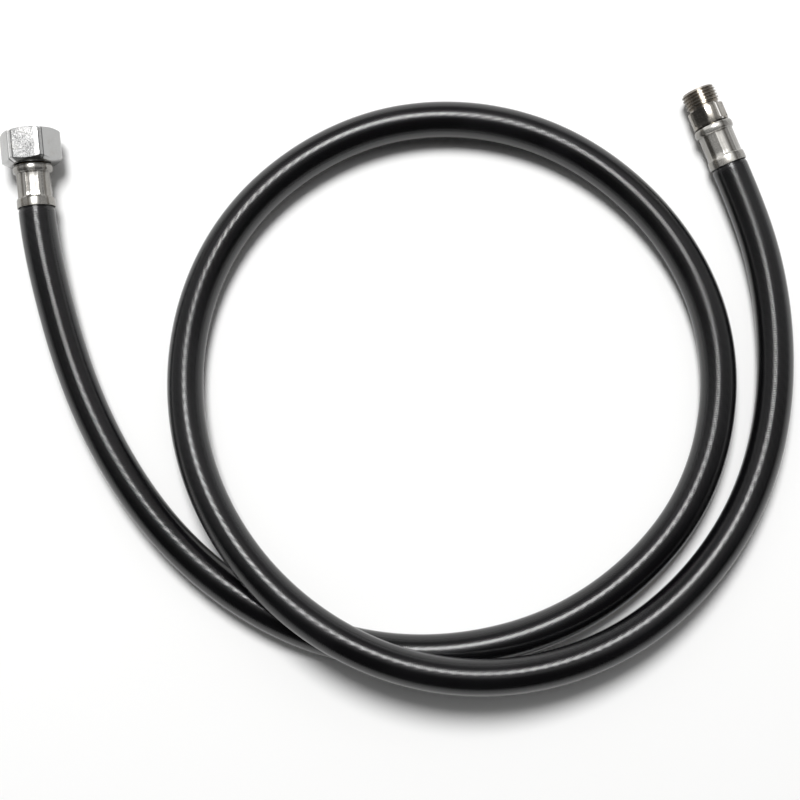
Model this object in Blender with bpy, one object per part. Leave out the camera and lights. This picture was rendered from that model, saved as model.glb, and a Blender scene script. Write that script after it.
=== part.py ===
"""Flexible water hose with a hex swivel nut crimped to one end and a male nipple to the other.

The hose lies on a floor at Z = 0 in one full turn and passes over itself. Lengths are in metres.
"""

import math

import bmesh
import bpy
import numpy as np
from mathutils import Matrix, Vector

MM = 0.001
GAP = 0.3 * MM

# Hose
HOSE_DIAMETER = 16.8 * MM
HOSE_RADIUS = HOSE_DIAMETER / 2
HOSE_WALL = 3.6 * MM
TUBE_SPACING = 24 * MM
STRAIGHT_START = 5 * MM

# Crimped ferrules
FERRULE_LENGTH = 19.9 * MM
FERRULE_WALL = 0.55 * MM
BAND_LENGTH = 4.3 * MM
BEAD_LENGTH = 3.9 * MM
BAND_RISE = 0.4 * MM
BEAD_RISE = 0.8 * MM
CRIMP_DEPTH = 0.65 * MM
CRIMP_RIDGE = 0.4 * MM
CRIMP_JAWS = 8
BAND_TAPER = 0.1 * MM
CRIMP_RAMP = 0.5 * MM
FERRULE_LIP = 0.25 * MM

# Barbed stems
STEM_STRETCH = 0.2 * MM
STEM_WALL = 1.5 * MM
BARB_DEPTH = 0.4 * MM
BARB_COUNT = 5
STEM_SETBACK = 1.5 * MM
COLLET_LENGTH = 1.2 * MM

# Swivel nut
NUT_ACROSS_FLATS = 25.0 * MM
NUT_CORNER_CUT = 0.434 * MM
NUT_LENGTH = 15.4 * MM
NUT_SOCKET = 18.6 * MM
NUT_BACK_WALL = 2.5 * MM
NUT_STANDOFF = 0.4 * MM
FRONT_CHAMFER = 0.4 * MM
REAR_CHAMFER = 1.5 * MM
SOCKET_CHAMFER = 0.9 * MM

# Tail and washer in the nut
FLANGE_THICKNESS = 2.5 * MM
NECK_STEP = 1.3 * MM
WASHER_THICKNESS = 2.0 * MM
WASHER_HOLE = 11.0 * MM

# Male nipple
COLLAR_DIAMETER = 16.8 * MM
COLLAR_LENGTH = 8.4 * MM
COLLAR_STANDOFF = 0.5 * MM
THREAD_DIAMETER = 15.9 * MM
THREAD_PITCH = 1.5 * MM
THREAD_LENGTH = 9.2 * MM
RELIEF_WIDTH = 1.0 * MM
RELIEF_DEPTH = 0.1 * MM
FLAT_COUNT = 4
FLAT_DEPTH = 1.1 * MM
FLAT_CORNER = 2.3 * MM
FLAT_LEDGE = 0.95 * MM
EDGE_BREAK = 0.4 * MM
FLAT_TURN = math.radians(45)

# How wide the hose lies, and the divisions of that width in which the floor plan is given
LAY_WIDTH = 350 * MM
LAY_DIVISIONS = 350

# Where the ferrule mouths lie on the floor plan, and how each fitting is turned on it
NUT_MOUTH = (-156.6, -28.9)
NUT_TURN = math.radians(6.1)
NIPPLE_MOUTH = (166.1, -8.0)
NIPPLE_TURN = math.radians(22.3)

# Hose route between the mouths: X and Y on the floor plan, lift off the floor in hose diameters
ROUTE = (
    (-149.0, -69.6, 0.13),
    (-137.2, -108.8, 0.0),
    (-119.9, -145.3, 0.0),
    (-96.2, -178.6, 0.0),
    (-66.7, -205.3, 0.0),
    (-31.3, -224.6, 0.0),
    (7.9, -234.0, 0.0),
    (48.1, -232.5, 0.0),
    (86.3, -220.7, 0.0),
    (119.7, -198.4, 0.0),
    (145.4, -167.2, 0.0),
    (158.7, -129.3, 0.0),
    (158.7, -88.7, 0.0),
    (144.5, -50.9, 0.0),
    (118.6, -19.5, 0.0),
    (84.5, 2.9, 0.0),
    (45.2, 13.1, 0.0),
    (4.3, 10.0, 0.0),
    (-33.0, -6.8, 0.0),
    (-62.6, -34.2, 0.0),
    (-81.5, -70.6, 0.0),
    (-87.3, -110.3, 0.08),
    (-80.4, -150.2, 0.34),
    (-61.5, -186.2, 0.67),
    (-32.9, -215.3, 0.95),
    (2.3, -235.1, 1.05),
    (42.0, -243.8, 0.96),
    (82.0, -240.3, 0.74),
    (119.2, -225.2, 0.46),
    (150.4, -199.3, 0.19),
    (172.9, -165.7, 0.03),
    (184.7, -127.3, 0.0),
    (186.7, -86.7, 0.0),
    (180.2, -46.3, 0.01),
)

# Sizes that follow from the ones above
LAY_STEP = LAY_WIDTH / LAY_DIVISIONS
BAND_RADIUS = HOSE_RADIUS + BAND_RISE
BEAD_RADIUS = HOSE_RADIUS + BEAD_RISE
CRIMP_RADIUS = HOSE_RADIUS - CRIMP_DEPTH
BEAD_START = FERRULE_LENGTH - BEAD_LENGTH
BEAD_MIDDLE = FERRULE_LENGTH - BEAD_LENGTH / 2
STEM_RADIUS = HOSE_RADIUS - HOSE_WALL + STEM_STRETCH
BORE_RADIUS = STEM_RADIUS - STEM_WALL
COLLET_RADIUS = STEM_RADIUS + BARB_DEPTH
NECK_RADIUS = COLLET_RADIUS + NECK_STEP
NUT_LAND_RADIUS = NUT_ACROSS_FLATS / math.sqrt(3) - NUT_CORNER_CUT
THREAD_RADIUS = THREAD_DIAMETER / 2
ROOT_RADIUS = THREAD_RADIUS - 0.6134 * THREAD_PITCH
RELIEF_RADIUS = ROOT_RADIUS - RELIEF_DEPTH
COLLET_END = FERRULE_LENGTH - FERRULE_WALL - GAP


def material(name, colour, metallic, roughness):
    """A Principled BSDF material."""
    made = bpy.data.materials.new(name)
    made.use_nodes = True
    shader = made.node_tree.nodes["Principled BSDF"]
    shader.inputs["Base Color"].default_value = (*colour, 1.0)
    shader.inputs["Metallic"].default_value = metallic
    shader.inputs["Roughness"].default_value = roughness
    return made


def placement(mouth, height, turn):
    """Frame of a fitting: local Z out along its axis from the ferrule mouth, local X up."""
    up = Vector((0, 0, 1))
    axis = Vector((-math.sin(turn), math.cos(turn), 0))
    side = axis.cross(up)
    frame = Matrix((up, side, axis)).transposed().to_4x4()
    frame.translation = (mouth[0] * LAY_STEP, mouth[1] * LAY_STEP, height)
    return frame


def spot(angle, radius, along):
    """Point at an angle from the top, a radius and a distance along the axis."""
    return (radius * math.cos(angle), radius * math.sin(angle), along)


def ring(bm, angles, row):
    """Vertices of one row, which is a radius and a distance or a function that gives them."""
    return [bm.verts.new(spot(a, *(row(a) if callable(row) else row))) for a in angles]


def join(bm, first, second):
    """Band of quads between two rings."""
    for i in range(len(first)):
        k = (i + 1) % len(first)
        bm.faces.new((first[i], first[k], second[k], second[i]))


def chain(bm, rings):
    """Bands between each ring and the next."""
    for first, second in zip(rings, rings[1:]):
        join(bm, first, second)


def turned(bm, angles, rows):
    """Closed shell round the axis through rows that go out along the outside and back inside."""
    rings = [ring(bm, angles, row) for row in rows]
    chain(bm, rings + rings[:1])


def even_angles(count):
    """Angles of a full turn in equal steps."""
    return [math.tau * i / count for i in range(count)]


def add_node(name, bm, surface, frame, crease=30):
    """Object of a finished bmesh, shaded smooth up to the crease angle."""
    bmesh.ops.recalc_face_normals(bm, faces=bm.faces)
    mesh = bpy.data.meshes.new(name)
    bm.to_mesh(mesh)
    bm.free()
    mesh.shade_smooth()
    mesh.set_sharp_from_angle(angle=math.radians(crease))
    mesh.materials.append(surface)
    made = bpy.data.objects.new(name, mesh)
    made.matrix_world = frame
    bpy.context.scene.collection.objects.link(made)
    return made


def stem_rows():
    """Rows of a barbed stem, from its collet in the ferrule back to its tip in the hose."""
    start = COLLET_END - COLLET_LENGTH
    pitch = (start - STEM_SETBACK) / BARB_COUNT
    rows = []
    for i in range(BARB_COUNT):
        crest = start - i * pitch
        rows.append((STEM_RADIUS, crest))
        rows.append((STEM_RADIUS - BARB_DEPTH, crest - 0.85 * pitch))
    rows.append((BORE_RADIUS + EDGE_BREAK, STEM_SETBACK))
    rows.append((BORE_RADIUS, STEM_SETBACK))
    return rows


def crimped(angle, phase):
    """Outer radius of the crimped body, with a ridge between each two jaws."""
    step = math.tau / CRIMP_JAWS
    off = abs((angle - phase + step / 2) % step - step / 2)
    width = math.radians(9)
    return CRIMP_RADIUS + CRIMP_RIDGE * max(0.0, 1 - off / width)


def ferrule(name, surface, frame, phase):
    """Rolled and crimped ferrule from its mouth at 0 to its end wall."""
    step = math.tau / CRIMP_JAWS
    offsets = [math.radians(d) for d in (-18, -9, 0, 9, 18)]
    angles = [phase + step * jaw + off for jaw in range(CRIMP_JAWS) for off in offsets]
    front = BAND_LENGTH + CRIMP_RAMP / 2
    back = BEAD_START - CRIMP_RAMP / 2
    half = BEAD_LENGTH / 2
    low = CRIMP_RADIUS + CRIMP_RIDGE
    rise = BEAD_RADIUS - low
    bead = [(low + rise * math.sin(t), BEAD_MIDDLE - half * math.cos(t))
            for t in (math.radians(d) for d in (20, 45, 70, 110, 135, 160, 180))]
    outer = [
        (BAND_RADIUS - FERRULE_LIP, 0),
        (BAND_RADIUS, FERRULE_LIP),
        (BAND_RADIUS - BAND_TAPER, BAND_LENGTH - CRIMP_RAMP / 2),
        lambda a: (crimped(a, phase), front),
        lambda a: (crimped(a, phase), back),
    ]
    hole = COLLET_RADIUS + GAP
    inner = [
        (hole, FERRULE_LENGTH),
        (hole, FERRULE_LENGTH - FERRULE_WALL),
        (low - FERRULE_WALL, FERRULE_LENGTH - FERRULE_WALL),
        (BEAD_RADIUS - FERRULE_WALL, BEAD_MIDDLE + 0.3 * half),
        (BEAD_RADIUS - FERRULE_WALL, BEAD_MIDDLE - 0.3 * half),
        lambda a: (crimped(a, phase) - FERRULE_WALL, back + FERRULE_WALL / 2),
        lambda a: (crimped(a, phase) - FERRULE_WALL, front - FERRULE_WALL / 2),
        (BAND_RADIUS - BAND_TAPER - FERRULE_WALL, BAND_LENGTH - CRIMP_RAMP / 2 - FERRULE_WALL / 2),
        (BAND_RADIUS - FERRULE_WALL, 0),
    ]
    bm = bmesh.new()
    turned(bm, angles, outer + bead + inner)
    return add_node(name, bm, surface, frame)


def hose_end(name, surface, frame):
    """End of the hose, gripped between the ferrule and the stem."""
    band = BAND_RADIUS - BAND_TAPER - FERRULE_WALL - GAP
    grip = CRIMP_RADIUS - FERRULE_WALL - GAP
    inside = STEM_RADIUS + GAP
    end = COLLET_END - GAP
    rows = [
        (band, 0),
        (band, BAND_LENGTH - CRIMP_RAMP - FERRULE_WALL - GAP),
        (grip, BAND_LENGTH - CRIMP_RAMP),
        (grip, end),
        (inside, end),
        (inside, 0),
    ]
    bm = bmesh.new()
    turned(bm, even_angles(32), rows)
    return add_node(name, bm, surface, frame)


def hexagon(angle):
    """Radius of the nut's outside: six flats, with the corners turned down to the land."""
    sixth = math.pi / 3
    off = (angle + sixth / 2) % sixth - sixth / 2
    return min(NUT_ACROSS_FLATS / 2 / math.cos(off), NUT_LAND_RADIUS)


def nut_angles():
    """Angles that hold the middle of each flat and both edges of each corner land."""
    land = math.acos(NUT_ACROSS_FLATS / 2 / NUT_LAND_RADIUS)
    steps = [land * k / 4 for k in range(-4, 5)]
    steps.append(math.pi / 6)
    return [math.pi / 3 * side + step for side in range(6) for step in steps]


def swivel_nut(surface, frame):
    """Hex nut with a plain socket, a back wall with a hole for the neck, and chamfered ends."""
    back = FERRULE_LENGTH + NUT_STANDOFF
    front = back + NUT_LENGTH
    slope = math.tan(math.radians(30))
    front_face = NUT_ACROSS_FLATS / 2 - FRONT_CHAMFER
    rear_face = NUT_ACROSS_FLATS / 2 - REAR_CHAMFER
    socket = NUT_SOCKET / 2
    hole = NECK_RADIUS + GAP
    rows = [
        (rear_face, back),
        lambda a: (hexagon(a), back + (hexagon(a) - rear_face) * slope),
        lambda a: (hexagon(a), front - (hexagon(a) - front_face) * slope),
        (front_face, front),
        (socket + SOCKET_CHAMFER, front),
        (socket, front - SOCKET_CHAMFER),
        (socket, back + NUT_BACK_WALL),
        (hole, back + NUT_BACK_WALL),
        (hole, back + GAP),
        (hole + GAP, back),
    ]
    bm = bmesh.new()
    turned(bm, nut_angles(), rows)
    return add_node("swivel_nut", bm, surface, frame)


def nut_tail(surface, frame):
    """Tail with a head inside the nut, a neck through its back wall and a barbed stem."""
    shoulder = FERRULE_LENGTH + GAP
    head = FERRULE_LENGTH + NUT_STANDOFF + NUT_BACK_WALL + GAP
    face = head + FLANGE_THICKNESS
    flange = NUT_SOCKET / 2 - GAP
    rows = [
        (BORE_RADIUS, face),
        (flange - EDGE_BREAK, face),
        (flange, face - EDGE_BREAK),
        (flange, head),
        (NECK_RADIUS, head),
        (NECK_RADIUS, shoulder),
        (COLLET_RADIUS, shoulder),
        (COLLET_RADIUS, COLLET_END),
        *stem_rows(),
    ]
    bm = bmesh.new()
    turned(bm, even_angles(32), rows)
    return add_node("nut_tail", bm, surface, frame)


def sealing_washer(surface, frame):
    """Flat washer on the tail's head."""
    back = FERRULE_LENGTH + NUT_STANDOFF + NUT_BACK_WALL + GAP + FLANGE_THICKNESS + GAP
    radius = NUT_SOCKET / 2 - GAP
    rows = [
        (radius, back),
        (radius, back + WASHER_THICKNESS),
        (WASHER_HOLE / 2, back + WASHER_THICKNESS),
        (WASHER_HOLE / 2, back),
    ]
    bm = bmesh.new()
    turned(bm, even_angles(32), rows)
    return add_node("sealing_washer", bm, surface, frame)


def thread(bm, count, low_ring, high_ring, low, high):
    """Right-hand thread between two rings, as rows that climb one pitch in a turn."""
    crest = THREAD_RADIUS
    root = ROOT_RADIUS
    profile = ((0.0, crest), (0.125, crest), (0.42, root), (0.705, root))
    turns = math.ceil((high - low) / THREAD_PITCH) + 1
    snap = THREAD_PITCH / 40
    rows = len(profile) * (turns + 1)
    columns = []
    for i in range(count):
        column = []
        for j in range(rows + (len(profile) if i == 0 else 0)):
            part, radius = profile[j % len(profile)]
            along = low + THREAD_PITCH * (j // len(profile) - 1 + part + i / count)
            if along < low + snap:
                column.append(low_ring[i])
            elif along > high - snap:
                column.append(high_ring[i])
            else:
                kept = min(radius, RELIEF_RADIUS + along - low, RELIEF_RADIUS + high - along)
                column.append(bm.verts.new(spot(math.tau * i / count, kept, along)))
        columns.append(column)
    columns.append(columns[0][len(profile):])
    for left, right in zip(columns, columns[1:]):
        for j in range(rows - 1):
            corners = (left[j], right[j], right[j + 1], left[j + 1])
            loop = [v for k, v in enumerate(corners) if v is not corners[k - 1]]
            if len(loop) > 2:
                bm.faces.new(loop)


def flat_cutter(frame, collar_back, collar_front):
    """Blocks with two rounded corners each, which mill the flats into the collar."""
    radius = COLLAR_DIAMETER / 2
    floor = radius - FLAT_DEPTH
    half = math.sqrt(radius ** 2 - floor ** 2) + GAP
    back = collar_back + FLAT_LEDGE
    front = collar_front + RELIEF_WIDTH / 2
    corner = [math.radians(d) for d in (0, 22.5, 45, 67.5, 90)]
    side = [(half - FLAT_CORNER + FLAT_CORNER * math.sin(a), back + FLAT_CORNER - FLAT_CORNER * math.cos(a))
            for a in corner]
    outline = [*side, (half, front), (-half, front), *[(-w, t) for w, t in reversed(side)]]
    bm = bmesh.new()
    for i in range(FLAT_COUNT):
        turn = Matrix.Rotation(FLAT_TURN + math.tau * i / FLAT_COUNT, 3, "Z")
        low = [bm.verts.new(turn @ Vector((floor, w, t))) for w, t in outline]
        high = [bm.verts.new(turn @ Vector((COLLAR_DIAMETER, w, t))) for w, t in outline]
        join(bm, low, high)
        bm.faces.new(low)
        bm.faces.new(high)
    bmesh.ops.recalc_face_normals(bm, faces=bm.faces)
    mesh = bpy.data.meshes.new("flat_cutter")
    bm.to_mesh(mesh)
    bm.free()
    cutter = bpy.data.objects.new("flat_cutter", mesh)
    cutter.matrix_world = frame
    cutter.hide_render = True
    cutter.display_type = "WIRE"
    bpy.context.scene.collection.objects.link(cutter)
    return cutter


def male_nipple(surface, frame):
    """Nipple with a threaded end, a collar with spanner flats and a barbed stem."""
    count = 48
    angles = even_angles(count)
    back = FERRULE_LENGTH + COLLAR_STANDOFF
    front = back + COLLAR_LENGTH
    low = front + RELIEF_WIDTH
    high = front + THREAD_LENGTH
    radius = COLLAR_DIAMETER / 2
    outside = [
        (RELIEF_RADIUS, low),
        (RELIEF_RADIUS, front),
        (radius - EDGE_BREAK, front),
        (radius, front - EDGE_BREAK),
        (radius, back + EDGE_BREAK),
        (radius - EDGE_BREAK, back),
        (COLLET_RADIUS, back),
        (COLLET_RADIUS, COLLET_END),
        *stem_rows(),
        (BORE_RADIUS, high - EDGE_BREAK),
        (BORE_RADIUS + EDGE_BREAK, high),
        (RELIEF_RADIUS, high),
    ]
    bm = bmesh.new()
    rings = [ring(bm, angles, row) for row in outside]
    chain(bm, rings)
    thread(bm, count, rings[0], rings[-1], low, high)
    made = add_node("male_nipple", bm, surface, frame)
    cut = made.modifiers.new("Flats", "BOOLEAN")
    cut.operation = "DIFFERENCE"
    cut.solver = "EXACT"
    cut.object = flat_cutter(frame, back, front)
    return made


def smooth_route(points, start, end):
    """Dense points on one smooth curve through the route, leaving and arriving along the axes."""
    points = np.array(points)
    gaps = np.linalg.norm(np.diff(points, axis=0), axis=1)
    last = len(points) - 1
    system = np.zeros((last + 1, last + 1))
    known = np.zeros((last + 1, 3))
    system[0, 0] = 1
    system[last, last] = 1
    known[0] = start
    known[last] = end
    for i in range(1, last):
        before = gaps[i - 1]
        after = gaps[i]
        system[i, i - 1] = 1 / before
        system[i, i] = 2 / before + 2 / after
        system[i, i + 1] = 1 / after
        rise_in = (points[i] - points[i - 1]) / before ** 2
        rise_out = (points[i + 1] - points[i]) / after ** 2
        known[i] = 3 * (rise_in + rise_out)
    slopes = np.linalg.solve(system, known)
    dense = []
    for i in range(last):
        for u in np.linspace(0, 1, 40, endpoint=False):
            dense.append((2 * u ** 3 - 3 * u ** 2 + 1) * points[i]
                         + (3 * u ** 2 - 2 * u ** 3) * points[i + 1]
                         + (u ** 3 - 2 * u ** 2 + u) * gaps[i] * slopes[i]
                         + (u ** 3 - u ** 2) * gaps[i] * slopes[i + 1])
    dense.append(points[last])
    return np.array(dense)


def hose(surface, nut_frame, nipple_frame):
    """Free length of the hose, a tube from mouth to mouth that rests on the floor."""
    out_of_nut = -np.array(nut_frame.col[2][:3])
    into_nipple = np.array(nipple_frame.col[2][:3])
    first = np.array(nut_frame.translation) + GAP * out_of_nut
    final = np.array(nipple_frame.translation) - GAP * into_nipple
    between = [(x * LAY_STEP, y * LAY_STEP, HOSE_RADIUS + lift * HOSE_DIAMETER) for x, y, lift in ROUTE]
    dense = smooth_route([first, *between, final], out_of_nut, into_nipple)
    dense[:, 2] = np.maximum(dense[:, 2], HOSE_RADIUS)
    along = np.concatenate([[0], np.cumsum(np.linalg.norm(np.diff(dense, axis=0), axis=1))])
    inner = along[-1] - 2 * STRAIGHT_START
    steps = round(inner / TUBE_SPACING)
    stations = [0, *(STRAIGHT_START + inner * i / steps for i in range(steps + 1)), along[-1]]
    places = np.column_stack([np.interp(stations, along, dense[:, k]) for k in range(3)])
    curve = bpy.data.curves.new("hose", "CURVE")
    curve.dimensions = "3D"
    line = curve.splines.new("POLY")
    line.points.add(len(places) - 1)
    for point, place in zip(line.points, places):
        point.co = (*place, 1)
        point.radius = 1
    line.use_smooth = True
    curve.bevel_depth = HOSE_RADIUS
    curve.bevel_resolution = 4
    curve.use_fill_caps = True
    curve.materials.append(surface)
    made = bpy.data.objects.new("hose", curve)
    bpy.context.scene.collection.objects.link(made)
    return made


def main():
    for old in list(bpy.data.objects):
        bpy.data.objects.remove(old, do_unlink=True)
    nut_plate = material("nut_plate", (0.62, 0.61, 0.58), 1.0, 0.22)
    ferrule_steel = material("ferrule_steel", (0.68, 0.66, 0.62), 1.0, 0.25)
    nipple_plate = material("nipple_plate", (0.56, 0.53, 0.48), 1.0, 0.28)
    tail_brass = material("tail_brass", (0.62, 0.46, 0.2), 1.0, 0.35)
    washer_rubber = material("washer_rubber", (0.03, 0.03, 0.03), 0.0, 0.75)
    hose_skin = material("hose_skin", (0.012, 0.012, 0.013), 0.0, 0.38)
    nut_frame = placement(NUT_MOUTH, NUT_ACROSS_FLATS / 2, NUT_TURN)
    nipple_frame = placement(NIPPLE_MOUTH, BEAD_RADIUS, NIPPLE_TURN)
    swivel_nut(nut_plate, nut_frame)
    sealing_washer(washer_rubber, nut_frame)
    nut_tail(tail_brass, nut_frame)
    ferrule("nut_ferrule", ferrule_steel, nut_frame, math.radians(28))
    hose_end("hose_end_nut", hose_skin, nut_frame)
    hose(hose_skin, nut_frame, nipple_frame)
    hose_end("hose_end_nipple", hose_skin, nipple_frame)
    ferrule("nipple_ferrule", ferrule_steel, nipple_frame, math.radians(-14))
    male_nipple(nipple_plate, nipple_frame)


main()
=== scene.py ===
"""Looks of the flexible water hose, laid out as a Blender add-on and run as a script.

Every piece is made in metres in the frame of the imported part. Each fitting is made along its own
axis: local Z runs out along it from the ferrule's mouth, and local X is up.
"""

import math

import bmesh
import bpy
import numpy as np
from bpy.props import FloatProperty, FloatVectorProperty, IntProperty, PointerProperty
from mathutils import Matrix, Vector


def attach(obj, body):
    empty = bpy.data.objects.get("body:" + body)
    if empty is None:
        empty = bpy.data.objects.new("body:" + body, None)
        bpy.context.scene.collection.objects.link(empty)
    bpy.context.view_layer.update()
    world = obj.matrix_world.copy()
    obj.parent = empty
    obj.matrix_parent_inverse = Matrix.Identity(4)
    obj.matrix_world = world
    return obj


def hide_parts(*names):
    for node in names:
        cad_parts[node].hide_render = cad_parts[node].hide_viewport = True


bl_info = {
    "name": "Flexible water hose",
    "version": (1, 0, 0),
    "blender": (4, 5, 0),
    "location": "View3D > Sidebar > Water hose",
    "description": "Dresses the packed water hose in detailed pieces and materials",
    "category": "Object",
}

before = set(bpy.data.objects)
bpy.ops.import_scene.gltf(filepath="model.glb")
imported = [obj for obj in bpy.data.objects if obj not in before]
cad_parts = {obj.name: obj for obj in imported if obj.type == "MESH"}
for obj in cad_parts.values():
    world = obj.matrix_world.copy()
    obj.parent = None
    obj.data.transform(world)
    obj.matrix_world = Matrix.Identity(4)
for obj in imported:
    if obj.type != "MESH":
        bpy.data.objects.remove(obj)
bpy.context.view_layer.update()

MM = 0.001
GAP = 0.3 * MM
TURN = math.tau

# The fittings' places, the same as in the part's source
NUT_MOUTH = (-156.6 * MM, -28.9 * MM, 12.5 * MM)
NUT_TURN = math.radians(6.1)
NIPPLE_MOUTH = (166.1 * MM, -8.0 * MM, 9.2 * MM)
NIPPLE_TURN = math.radians(22.3)
HOSE_DIAMETER = 16.8 * MM
FERRULE_LENGTH = 19.9 * MM
NUT_BACK = FERRULE_LENGTH + 0.4 * MM
REAR_CHAMFER = 1.5 * MM
FRONT_CHAMFER = 0.4 * MM
CHAMFER_SLOPE = math.tan(math.radians(30))
COLLAR_BACK = FERRULE_LENGTH + 0.5 * MM
BORE = 3.5 * MM
COLLET = 5.4 * MM
COLLET_BACK = 19.05 * MM
HEAD_BACK = 23.1 * MM
HEAD_FACE = 25.6 * MM

# Depth of the nipple's thread, as a share of its pitch
THREAD_DEPTH = 0.6134

# Camera, lamp and floor, in metres and radians
CAMERA_PLACE = (0.012353, -0.152942, 0.7056)
CAMERA_TILT = 0.049958
LAMP_PLACE = (-0.200, 1.020, 2.160)
LAMP_AIM = (0.012, -0.117, 0.0)
FLOOR_REACH = 30.0

# Hose route between the mouths: X and Y in millimetres, lift off the floor in hose diameters
ROUTE = (
    (-149.0, -69.6, 0.13), (-137.2, -108.8, 0.0), (-119.9, -145.3, 0.0), (-96.2, -178.6, 0.0),
    (-66.7, -205.3, 0.0), (-31.3, -224.6, 0.0), (7.9, -234.0, 0.0), (48.1, -232.5, 0.0),
    (86.3, -220.7, 0.0), (119.7, -198.4, 0.0), (145.4, -167.2, 0.0), (158.7, -129.3, 0.0),
    (158.7, -88.7, 0.0), (144.5, -50.9, 0.0), (118.6, -19.5, 0.0), (84.5, 2.9, 0.0),
    (45.2, 13.1, 0.0), (4.3, 10.0, 0.0), (-33.0, -6.8, 0.0), (-62.6, -34.2, 0.0),
    (-81.5, -70.6, 0.0), (-87.3, -110.3, 0.08), (-80.4, -150.2, 0.34), (-61.5, -186.2, 0.67),
    (-32.9, -215.3, 0.95), (2.3, -235.1, 1.05), (42.0, -243.8, 0.96), (82.0, -240.3, 0.74),
    (119.2, -225.2, 0.46), (150.4, -199.3, 0.19), (172.9, -165.7, 0.03), (184.7, -127.3, 0.0),
    (186.7, -86.7, 0.0), (180.2, -46.3, 0.01),
)


# Settings


def length(name, description, default, **more):
    """A size in metres that the user may change."""
    return FloatProperty(name=name, description=description, default=default, unit="LENGTH",
                         subtype="DISTANCE", precision=5, **more)


def colour(name, description, default):
    """A colour that the user may change."""
    return FloatVectorProperty(name=name, description=description, default=default,
                               subtype="COLOR", size=3, min=0, max=1)


class HoseSettings(bpy.types.PropertyGroup):
    diameter: length("Diameter", "Outer diameter of the hose", HOSE_DIAMETER)
    ring_spacing: length("Ring spacing", "Distance between the rings of its mesh", 2.0 * MM)
    around: IntProperty(name="Sides", description="Points round each ring", default=72, min=12)
    braid_pitch: length("Braid pitch", "Distance between braid yarns along the hose", 1.1 * MM)
    braid_relief: length("Braid relief", "How far the braid shows through the skin", 0.042 * MM)
    skin: colour("Skin", "Colour of the hose's skin", (0.0030, 0.0029, 0.0034))


class NutSettings(bpy.types.PropertyGroup):
    across_flats: length("Across flats", "Size of the spanner that fits", 25 * MM)
    corner_cut: length("Corner cut", "How far the corners are turned down", 0.434 * MM)
    length: length("Length", "Length of the nut along its axis", 15.4 * MM)
    edge_round: length("Edge rounding", "Width of its rounded edges", 0.35 * MM)
    thread_pitch: length("Thread pitch", "Pitch of the pipe thread inside", 1.814 * MM)
    plating: colour("Plating", "Colour of the nut's plating", (0.68, 0.68, 0.675))


class FerruleSettings(bpy.types.PropertyGroup):
    jaws: IntProperty(name="Jaws", description="Crimps round the ferrule", default=8, min=3)
    crimp_ridge: length("Crimp ridge", "Height of the ridge between two crimps", 0.42 * MM)
    bead_rise: length("Bead rise", "Height of the bead over the hose", 0.8 * MM)
    steel: colour("Steel", "Colour of the ferrule's sheet metal", (0.72, 0.70, 0.66))


class NippleSettings(bpy.types.PropertyGroup):
    thread_diameter: length("Thread diameter", "Outer diameter of its thread", 15.9 * MM)
    thread_pitch: length("Thread pitch", "Pitch of its thread", 1.5 * MM)
    collar_diameter: length("Collar diameter", "Diameter of its collar", 16.8 * MM)
    flat_depth: length("Flat depth", "Depth of the milled spanner flats", 1.1 * MM)
    edge_round: length("Edge rounding", "Width of its rounded edges", 0.16 * MM)
    plating: colour("Plating", "Colour of the nipple's plating", (0.70, 0.66, 0.60))


class InnerSettings(bpy.types.PropertyGroup):
    brass: colour("Brass", "Colour of the tail's brass", (0.66, 0.48, 0.22))
    rubber: colour("Rubber", "Colour of the washer's rubber", (0.02, 0.02, 0.02))


class StageSettings(bpy.types.PropertyGroup):
    floor: colour("Floor", "Colour of the floor", (0.985, 0.985, 0.98))
    lamp_size: length("Lamp size", "Diameter of the lamp", 0.90)
    lamp_power: FloatProperty(name="Lamp power", description="Power of the lamp", default=58.0,
                              unit="POWER", min=0)
    focal_length: FloatProperty(name="Focal length", description="Of the camera, in millimetres",
                                default=67.5843, min=1)


# Shader maths


class Value:
    """A socket of a node tree. Python's operators on it add Math nodes."""

    def __init__(self, tree, socket):
        self.tree = tree
        self.socket = socket

    def math(self, operation, *others, swap=False):
        """One Math node on this value and others."""
        values = [self, *others]
        if swap:
            values.reverse()
        return self.tree.add("ShaderNodeMath", {"operation": operation}, dict(enumerate(values)))

    def __add__(self, other):
        return self.math("ADD", other)

    def __sub__(self, other):
        return self.math("SUBTRACT", other)

    def __rsub__(self, other):
        return self.math("SUBTRACT", other, swap=True)

    def __mul__(self, other):
        return self.math("MULTIPLY", other)

    def __truediv__(self, other):
        return self.math("DIVIDE", other)

    def __rtruediv__(self, other):
        return self.math("DIVIDE", other, swap=True)

    def __pow__(self, other):
        return self.math("POWER", other)

    __radd__ = __add__
    __rmul__ = __mul__

    def ramp(self, low, high, start=0.0, end=1.0):
        """Smooth step from start at low to end at high."""
        return self.tree.add("ShaderNodeMapRange", {"interpolation_type": "SMOOTHSTEP"}, {
            "Value": self, "From Min": low, "From Max": high, "To Min": start, "To Max": end})

    def between(self, low, high, edge):
        """1 between low and high, and 0 outside, with soft edges."""
        return self.ramp(low - edge, low + edge) * self.ramp(high - edge, high + edge, 1.0, 0.0)


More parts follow.
